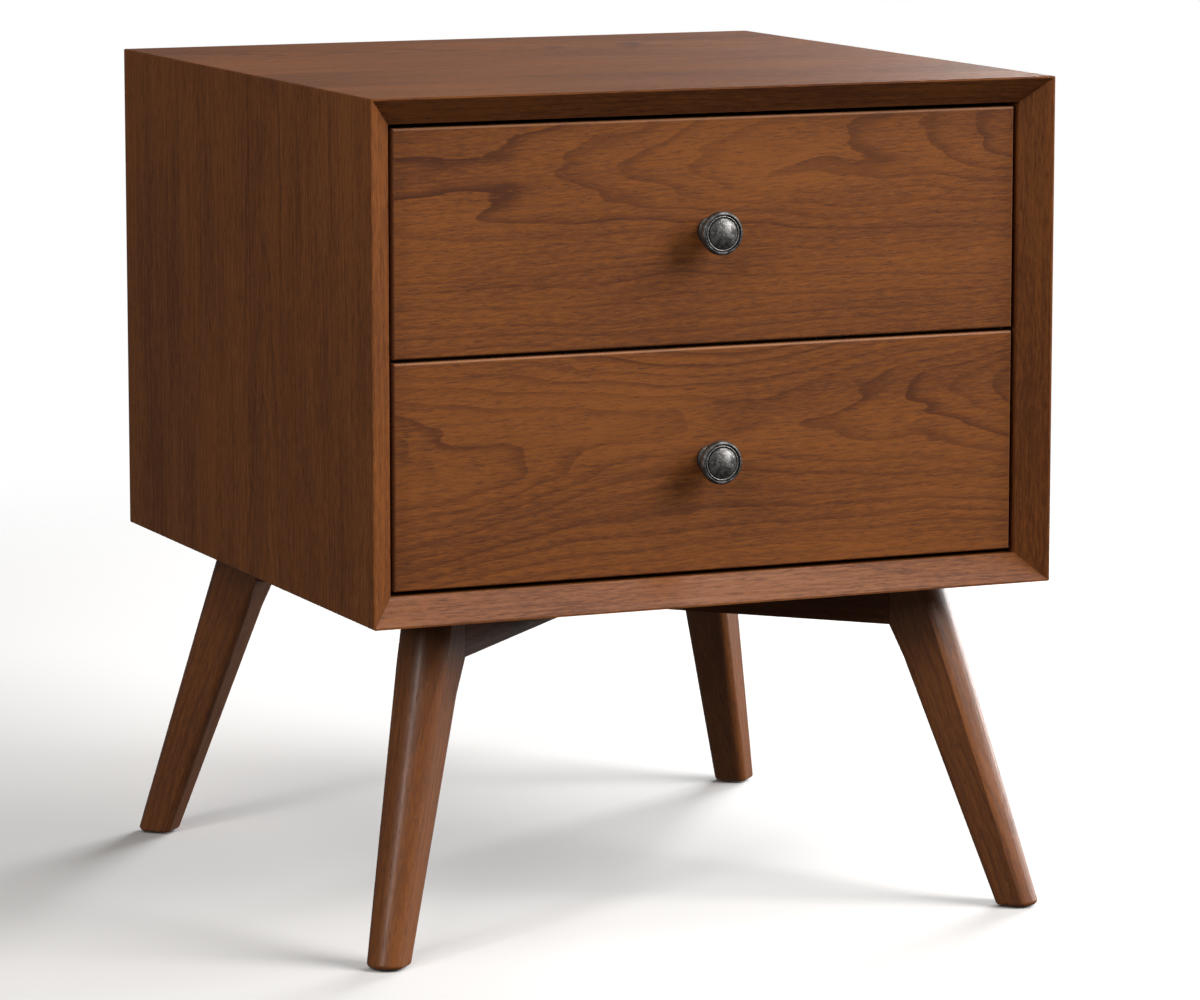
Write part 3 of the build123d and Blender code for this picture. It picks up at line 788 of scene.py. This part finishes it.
class NIGHTSTAND_OT_knobs(bpy.types.Operator):
    """Turn the two knobs with their domed face, bead and rounded rim"""

    bl_idname = "nightstand.knobs"
    bl_label = "Knobs"

    def outline(self, knob, out):
        """Half outline of the knob, from its foot to the middle of its face."""
        cap = knob.radius
        foot, neck = cap * 0.655, cap * 0.325
        foot_top, neck_top = 4.5 * MM, 8.5 * MM
        flare, crest = out - 9.4 * MM, out - 3.2 * MM

        # The stepped foot, and the cove that runs from it to the neck.
        points = [(0, 0), (foot - 0.4 * MM, 0)]
        points += arc((foot - 0.5 * MM, 0.5 * MM), 0.5 * MM, -90, 0, 4)
        points += arc((foot - 0.6 * MM, 2.4 * MM), 0.6 * MM, 0, 90, 5)
        points += arc((foot - 1.0 * MM, 3.7 * MM), 0.5 * MM, -60, 90, 6)
        points += [
            (neck + 4.2 * MM * (1 - t) ** 2.2, foot_top + (neck_top - foot_top) * t)
            for t in (i / 10 for i in range(11))
        ]

        # The back of the cap and its rounded rim.
        points += [
            (neck + (cap * 0.86 - neck) * t ** 3.4, neck_top + (flare - neck_top) * t ** 0.8)
            for t in (i / 14 for i in range(1, 15))
        ]
        shoulder = cap * 0.905
        rim_middle, rim_half = (flare + crest) / 2, (crest - flare) / 2
        points += [
            (shoulder + (cap - shoulder) * math.cos(math.radians(a)),
             rim_middle + rim_half * math.sin(math.radians(a)))
            for a in range(-78, 91, 8)
        ]
        rim = cap * knob.rim
        points += arc(
            ((shoulder + rim) / 2, crest - 0.4 * MM), (shoulder - rim) / 2 + 0.1 * MM, 60, 150, 6
        )

        # The bead in its groove, and the domed face.
        groove, clearance = crest - 1.0 * MM, 0.25 * MM
        bead, bead_half = cap * knob.bead, cap * knob.bead_width / 2
        points.append((bead + bead_half + clearance, groove))
        points += arc((bead, groove + clearance), bead_half, -10, 190, 10)
        points.append((bead - bead_half - clearance, groove))
        dome = cap * knob.dome
        rise = out - crest + 0.35 * MM
        sphere = (dome * dome + rise * rise) / (2 * rise)
        points += [
            (dome * (1 - t), out - sphere + math.sqrt(sphere ** 2 - (dome * (1 - t)) ** 2))
            for t in (i / 18 for i in range(19))
        ]
        return points

    def execute(self, context):
        knob = context.scene.nightstand_knobs
        for drawer in DRAWERS:
            node = drawer + "_knob"
            low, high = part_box(node)
            foot = Vector(((low.x + high.x) / 2, high.y, (low.z + high.z) / 2))
            outline = self.outline(knob, high.y - low.y)
            bm = turned(outline, foot, -Y_AXIS)
            new_piece(
                node + "_turned", mesh_of(node + "_turned", bm),
                aged_pewter(node + "_pewter", knob, foot), drawer + "_drawer", node,
            )
        return {"FINISHED"}


class NIGHTSTAND_OT_slides(bpy.types.Operator):
    """Roll the slide members and fill their races with balls"""

    bl_idname = "nightstand.slides"
    bl_label = "Slides"

    def channel_path(self, depth, half, lip, bend):
        """Middle line of a channel's section, from one lip to the other, as (across, up)."""
        path = []
        if lip:
            path.append((depth, half - lip))
        path += arc((depth - bend, half - bend), bend, 0, 90, 5) if lip else [(depth, half)]
        path += arc((bend, half - bend), bend, 90, 180, 5)
        return path + [(across, -up) for across, up in reversed(path)]

    def channel(self, node, inward, lip, metal):
        """A rolled channel as large as its CAD node, its web on the side that `inward` leaves."""
        low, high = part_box(node)
        half_steel = metal.steel / 2
        depth = high.x - low.x - metal.steel
        half = (high.z - low.z) / 2 - half_steel
        path = self.channel_path(depth, half, lip, metal.bend - half_steel)
        web = (low.x + half_steel) if inward > 0 else (high.x - half_steel)
        centre_z = (low.z + high.z) / 2
        points = [Vector((web + inward * across, 0, centre_z + up)) for across, up in path]
        outer, inner = [], []
        for i, point in enumerate(points):
            back = points[max(i - 1, 0)]
            ahead = points[min(i + 1, len(points) - 1)]
            way = (ahead - back).normalized()
            side = Vector((way.z, 0, -way.x)) * half_steel
            outer.append(point + side)
            inner.append(point - side)
        loop = outer + inner[::-1]
        bm = bmesh.new()
        front = [bm.verts.new((p.x, low.y, p.z)) for p in loop]
        rear = [bm.verts.new((p.x, high.y, p.z)) for p in loop]
        count = len(loop)
        for i in range(count):
            after = (i + 1) % count
            bm.faces.new((front[i], front[after], rear[after], rear[i]))
        for ring in (front, rear):
            for i in range(len(points) - 1):
                bm.faces.new((ring[i], ring[i + 1], ring[count - 2 - i], ring[count - 1 - i]))
        return mesh_of(node + "_rolled", bm, smooth=False)

    def cage_strip(self, low, high, steel):
        """The folded strip that keeps a row of balls apart."""
        bm = bmesh.new()
        bmesh.ops.create_cube(bm, size=1.0)
        size, centre = high - low, (low + high) / 2
        for vert in bm.verts:
            vert.co = Vector(
                (centre[i] + vert.co[i] * (size[i], size[i], steel)[i] for i in range(3))
            )
        bmesh.ops.bevel(
            bm, geom=list(bm.edges), offset=steel * 0.3, segments=2, affect="EDGES"
        )
        return bm

    def execute(self, context):
        metal = context.scene.nightstand_metalwork
        zinc = plated_steel("zinc_slide", metal.zinc, 0.30)
        polished = plated_steel("polished_ball", metal.ball, 0.12)
        row_tree = ball_row_tree()
        for drawer in DRAWERS:
            for side, sign in zip(SIDES, (-1, 1)):
                members = (
                    ("cabinet_member", -sign, metal.lip, "case"),
                    ("middle_member", -sign, metal.lip, f"{drawer}_middle_members"),
                    ("drawer_member", sign, 0.0, f"{drawer}_drawer"),
                )
                for part, inward, lip, body in members:
                    node = f"{drawer}_{side}_{part}"
                    mesh = self.channel(node, inward, lip, metal)
                    new_piece(node + "_rolled", mesh, zinc, body, node)
            self.cages(drawer, metal, row_tree, zinc, polished)
        return {"FINISHED"}

    def cages(self, drawer, metal, row_tree, zinc, polished):
        """Cage strips and their balls, all on the middle members."""
        node = f"{drawer}_ball_cages"
        strips, balls = bmesh.new(), bmesh.new()
        for low, high in islands(node):
            strip = self.cage_strip(low, high, metal.cage)
            part = bpy.data.meshes.new("strip")
            strip.to_mesh(part)
            strip.free()
            strips.from_mesh(part)
            centre = (low + high) / 2
            pitch = (high.y - low.y) / metal.balls
            row = grown("ball_row", row_tree, {
                "Start": (centre.x, low.y + pitch / 2, centre.z),
                "Step": (0.0, pitch, 0.0),
                "Count": metal.balls,
                "Radius": metal.ball_radius,
                "Material": polished,
            })
            balls.from_mesh(row)
        body = f"{drawer}_middle_members"
        strip_mesh = mesh_of(node + "_strips", strips, smooth=False)
        cage = new_piece(node + "_strips", strip_mesh, zinc, body, node)
        new_piece(node + "_balls", mesh_of(node + "_balls", balls), polished, body, node)


class NIGHTSTAND_OT_screws(bpy.types.Operator):
    """Set a cross-recess screw in every hole"""

    bl_idname = "nightstand.screws"
    bl_label = "Screws"

    def screw(self, radius, head, head_height, length, countersunk, recess):
        """One screw along +Z with its head on top: the head's underside or rim is at 0."""
        outline = [(0, -length), (radius * 0.45, -length + radius), (radius, -length * 0.8)]
        if countersunk:
            outline += [(radius, -head_height), (head, -0.2 * MM), (head, 0.0), (0, 0.0)]
        else:
            outline += [(radius, 0.0), (head, 0.0)]
            outline += [
                (head * (0.78 + 0.22 * math.cos(math.radians(a))),
                 head_height * math.sin(math.radians(a)))
                for a in range(15, 91, 15)
            ]
            outline.append((0, head_height))
        plain = mesh_of("screw", turned(outline, Vector((0, 0, 0)), Z_AXIS, 24))
        top = 0.0 if countersunk else head_height
        return self.with_cross(plain, top, head * 0.5, recess)

    def with_cross(self, mesh, top, reach, depth):
        """Cut a tapered cross into a screw's head."""
        bm = bmesh.new()
        for turn in (0.0, math.pi / 2):
            made = bmesh.ops.create_cube(bm, size=1.0)["verts"]
            for vert in made:
                length, width, rise = (2.0, 0.30, depth) if vert.co.z > 0 else (0.9, 0.18, -depth)
                vert.co = Vector(
                    (vert.co.x * reach * length, vert.co.y * reach * width, top + rise)
                )
            bmesh.ops.rotate(bm, verts=made, matrix=Matrix.Rotation(turn, 3, "Z"))
        cutter_mesh = bpy.data.meshes.new("cross")
        bm.to_mesh(cutter_mesh)
        bm.free()
        body, cutter = linked("screw_body", mesh), linked("screw_cross", cutter_mesh)
        cut = body.modifiers.new("cross", "BOOLEAN")
        cut.operation, cut.object, cut.solver, cut.use_self = "DIFFERENCE", cutter, "EXACT", True
        bpy.context.view_layer.update()
        depsgraph = bpy.context.evaluated_depsgraph_get()
        done = bpy.data.meshes.new_from_object(body.evaluated_get(depsgraph))
        for obj in (body, cutter):
            bpy.data.objects.remove(obj)
        done.shade_flat()
        return done

    def execute(self, context):
        metal = context.scene.nightstand_metalwork
        steel = plated_steel("zinc_screw", metal.zinc, 0.34, along=Z_AXIS)
        tree = scatter_tree()
        groups = {
            "back_panel_screws": ("case", Y_AXIS, True),
            "base_screws": ("case", -Z_AXIS, False),
            "cabinet_slide_screws": ("case", None, False),
        }
        for drawer in DRAWERS:
            body = drawer + "_drawer"
            groups[f"{drawer}_drawer_front_screws"] = (body, Y_AXIS, True)
            groups[f"{drawer}_drawer_slide_screws"] = (body, X_AXIS, False)
            groups[f"{drawer}_knob_screw"] = (body, Y_AXIS, False)
        for node, (body, axis, countersunk) in groups.items():
            self.set_screws(node, body, axis, countersunk, tree, steel, metal)
        return {"FINISHED"}

    def set_screws(self, node, body, axis, countersunk, tree, steel, metal):
        """One mesh holding every screw of a CAD group, each facing the way its head does."""
        joined = bmesh.new()
        for facing, boxes in self.by_facing(node, axis).items():
            way = Vector(facing)
            index = max(range(3), key=lambda i: abs(way[i]))
            low, high = boxes[0]
            size = high - low
            head = max(size[(index + 1) % 3], size[(index + 2) % 3]) / 2
            length = size[index]
            reaches = self.reaches(node, low, high, index)
            radius = self.shank(reaches)
            head_height = head - radius if countersunk else self.head_height(reaches, head)
            proud = 0.0 if countersunk else head_height
            part_mesh = self.screw(
                radius, head, head_height, length - proud, countersunk,
                min(metal.recess, head_height * 0.7),
            )
            part_mesh.transform(way.to_track_quat("Z", "Y").to_matrix().to_4x4())
            part = linked("screw_part", part_mesh)
            places = bpy.data.meshes.new("screw_places")
            tops = [(low + high) / 2 + way * (length / 2 - proud) for low, high in boxes]
            places.from_pydata(tops, [], [])
            joined.from_mesh(grown(
                node + "_set", tree, {"Part": part, "Material": steel}, places
            ))
            bpy.data.objects.remove(part)
        joined_mesh = mesh_of(node + "_cut", joined, smooth=False)
        new_piece(node + "_cut", joined_mesh, steel, body, node)

    def by_facing(self, node, axis):
        """Group a node's screws by the way their heads face."""
        groups = {}
        for low, high in islands(node):
            if axis is None or axis == X_AXIS:
                outward = 1 if (low.x + high.x) > 0 else -1
                facing = (-outward, 0, 0)
            else:
                facing = tuple(axis)
            groups.setdefault(facing, []).append((low, high))
        return groups

    def reaches(self, node, low, high, index):
        """For each CAD vertex of one screw, its place along the axis and distance from it."""
        centre = (low + high) / 2
        first, second = (i for i in range(3) if i != index)
        slack = 0.01 * MM
        return [
            (v.co[index], math.hypot(v.co[first] - centre[first], v.co[second] - centre[second]))
            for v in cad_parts[node].data.vertices
            if all(low[i] - slack <= v.co[i] <= high[i] + slack for i in range(3))
        ]

    def shank(self, reaches):
        """Radius of a screw's shank: the nearest to the axis that any vertex off it comes."""
        return min(reach for _, reach in reaches if reach > 0.1 * MM)

    def head_height(self, reaches, head):
        """Height of a pan head: how far its rim runs along the axis."""
        along = [place for place, reach in reaches if reach > head * 0.97]
        return max(along) - min(along)


class NIGHTSTAND_OT_glides(bpy.types.Operator):
    """Mould the four nail-on glides"""

    bl_idname = "nightstand.glides"
    bl_label = "Glides"

    def execute(self, context):
        nylon = moulded_nylon("nylon_glide", (0.045, 0.036, 0.030))
        thick, edge, nail, tip = 3.0 * MM, 0.7 * MM, 1.2 * MM, 2.0 * MM
        for end in ("front", "back"):
            for side in SIDES:
                node = f"{end}_{side}_glide"
                low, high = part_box(node)
                radius = (high.x - low.x) / 2
                foot = Vector(((low.x + high.x) / 2, (low.y + high.y) / 2, low.z))
                height = high.z - low.z
                outline = [(0, 0), (radius - edge * 2, 0)]
                outline += arc((radius - edge, edge), edge, -90, 0, 6)
                outline += [(radius, thick), (nail, thick), (nail, height - tip), (0, height)]
                mesh = mesh_of(node + "_moulded", turned(outline, foot, Z_AXIS, 48))
                new_piece(node + "_moulded", mesh, nylon, "case", node)
        return {"FINISHED"}


class NIGHTSTAND_OT_stage(bpy.types.Operator):
    """Set the camera, the soft lights and the pale floor"""

    bl_idname = "nightstand.stage"
    bl_label = "Stage"

    def floor(self, stage):
        """A pale floor that fades into the white backdrop."""
        bm = bmesh.new()
        bmesh.ops.create_circle(bm, cap_ends=True, radius=stage.floor_radius, segments=96)
        mesh = bpy.data.meshes.new("floor")
        bm.to_mesh(mesh)
        bm.free()
        floor = linked("floor", mesh)
        shader = Shader("pale_floor")
        point = shader.object_point()
        x, y, _ = shader.axes(point)
        reach = (x * x + y * y).root()
        shade = shader.noise(point, 1.5, detail=2.0)
        paint(floor, shader.finish(
            Base_Color=shader.mix(shade * 0.1, stage.floor, [c * 0.96 for c in stage.floor]),
            Roughness=0.9,
            Specular_IOR_Level=0.0,
            Alpha=reach.band(stage.floor_radius * 0.96, stage.floor_radius * 0.45),
        ))
        floor.visible_diffuse = False
        floor.visible_glossy = False

    def area(self, name, place, aim, size, power, colour=(1, 1, 1), spread=math.pi):
        """A soft rectangular light at a place, facing a point."""
        light = bpy.data.lights.new(name, "AREA")
        light.shape, light.size, light.size_y = "RECTANGLE", size[0], size[1]
        light.energy, light.color, light.spread = power, colour, spread
        obj = linked(name, light)
        obj.location = place
        obj.rotation_euler = (Vector(aim) - Vector(place)).to_track_quat("-Z", "Y").to_euler()
        obj.visible_camera = False

    def surroundings(self, stage):
        """A white backdrop that lights the object only dimly."""
        world = bpy.data.worlds.new("surroundings")
        world.use_nodes = True
        tree = world.node_tree
        background = tree.nodes["Background"]
        background.inputs["Color"].default_value = (1.0, 1.0, 1.0, 1.0)
        path = tree.nodes.new("ShaderNodeLightPath")
        strength = tree.nodes.new("ShaderNodeMapRange")
        strength.inputs["To Min"].default_value = stage.ambient
        strength.inputs["To Max"].default_value = 1.0
        tree.links.new(path.outputs["Is Camera Ray"], strength.inputs["Value"])
        tree.links.new(strength.outputs[0], background.inputs["Strength"])
        return world

    def execute(self, context):
        scene = context.scene
        stage = scene.nightstand_stage
        camera = linked("camera", bpy.data.cameras.new("camera"))
        camera.data.lens = stage.lens
        camera.location = stage.camera
        camera.rotation_euler = (math.pi / 2 - stage.pitch, 0, -stage.yaw)
        scene.camera = camera

        self.floor(stage)
        centre = (0, 0, 0.4)
        self.area("key", (2.6, -2.45, 2.4), centre, (2.2, 2.2), stage.key, (1.0, 0.97, 0.94))
        self.area("overhead", (1.3, -0.6, 3.2), centre, (1.2, 1.0), stage.overhead)
        self.area("fill", (-2.4, -2.6, 3.4), centre, (2.0, 2.0), stage.fill, (1.0, 0.92, 0.85))
        self.area("low", (3.4, -0.5, 0.4), (0, 0, 0.2), (1.2, 0.6), stage.low)
        self.area("sheen", (3.0, 2.6, 1.2), (0, 0, 0.6), (1.8, 1.4), stage.sheen,
                  spread=math.radians(100))
        self.area("right", (3.4, 1.4, 0.6), (0, 0, 0.3), (1.2, 1.3), stage.right)
        self.area("left", (-2.8, -1.7, 1.5), (0, 0, 0.3), (0.3, 1.5), stage.left)
        scene.world = self.surroundings(stage)
        scene.view_settings.view_transform = "Standard"
        return {"FINISHED"}


class NIGHTSTAND_PT_panel(bpy.types.Panel):
    """The nightstand's pieces, in the order they are made"""

    bl_idname = "NIGHTSTAND_PT_panel"
    bl_label = "Nightstand"
    bl_space_type = "VIEW_3D"
    bl_region_type = "UI"
    bl_category = "Nightstand"

    def draw(self, context):
        for operator in OPERATORS:
            self.layout.operator(operator.bl_idname)
        for name, group in GROUPS.items():
            box = self.layout.box()
            box.label(text=group.__doc__.split(".")[0])
            for prop in group.__annotations__:
                box.prop(getattr(context.scene, name), prop)


GROUPS = {
    "nightstand_wood": NightstandWood,
    "nightstand_boxes": NightstandBoxes,
    "nightstand_knobs": NightstandKnobs,
    "nightstand_metalwork": NightstandMetalwork,
    "nightstand_stage": NightstandStage,
}
OPERATORS = (
    NIGHTSTAND_OT_case,
    NIGHTSTAND_OT_fronts,
    NIGHTSTAND_OT_base,
    NIGHTSTAND_OT_boxes,
    NIGHTSTAND_OT_knobs,
    NIGHTSTAND_OT_slides,
    NIGHTSTAND_OT_screws,
    NIGHTSTAND_OT_glides,
    NIGHTSTAND_OT_stage,
)


def register():
    for cls in (*GROUPS.values(), *OPERATORS, NIGHTSTAND_PT_panel):
        bpy.utils.register_class(cls)
    for name, group in GROUPS.items():
        setattr(bpy.types.Scene, name, PointerProperty(type=group))


def unregister():
    for name in GROUPS:
        delattr(bpy.types.Scene, name)
    for cls in reversed((*GROUPS.values(), *OPERATORS, NIGHTSTAND_PT_panel)):
        bpy.utils.unregister_class(cls)


def main():
    register()
    for operator in OPERATORS:
        group, name = operator.bl_idname.split(".")
        getattr(getattr(bpy.ops, group), name)()


if __name__ == "__main__":
    main()
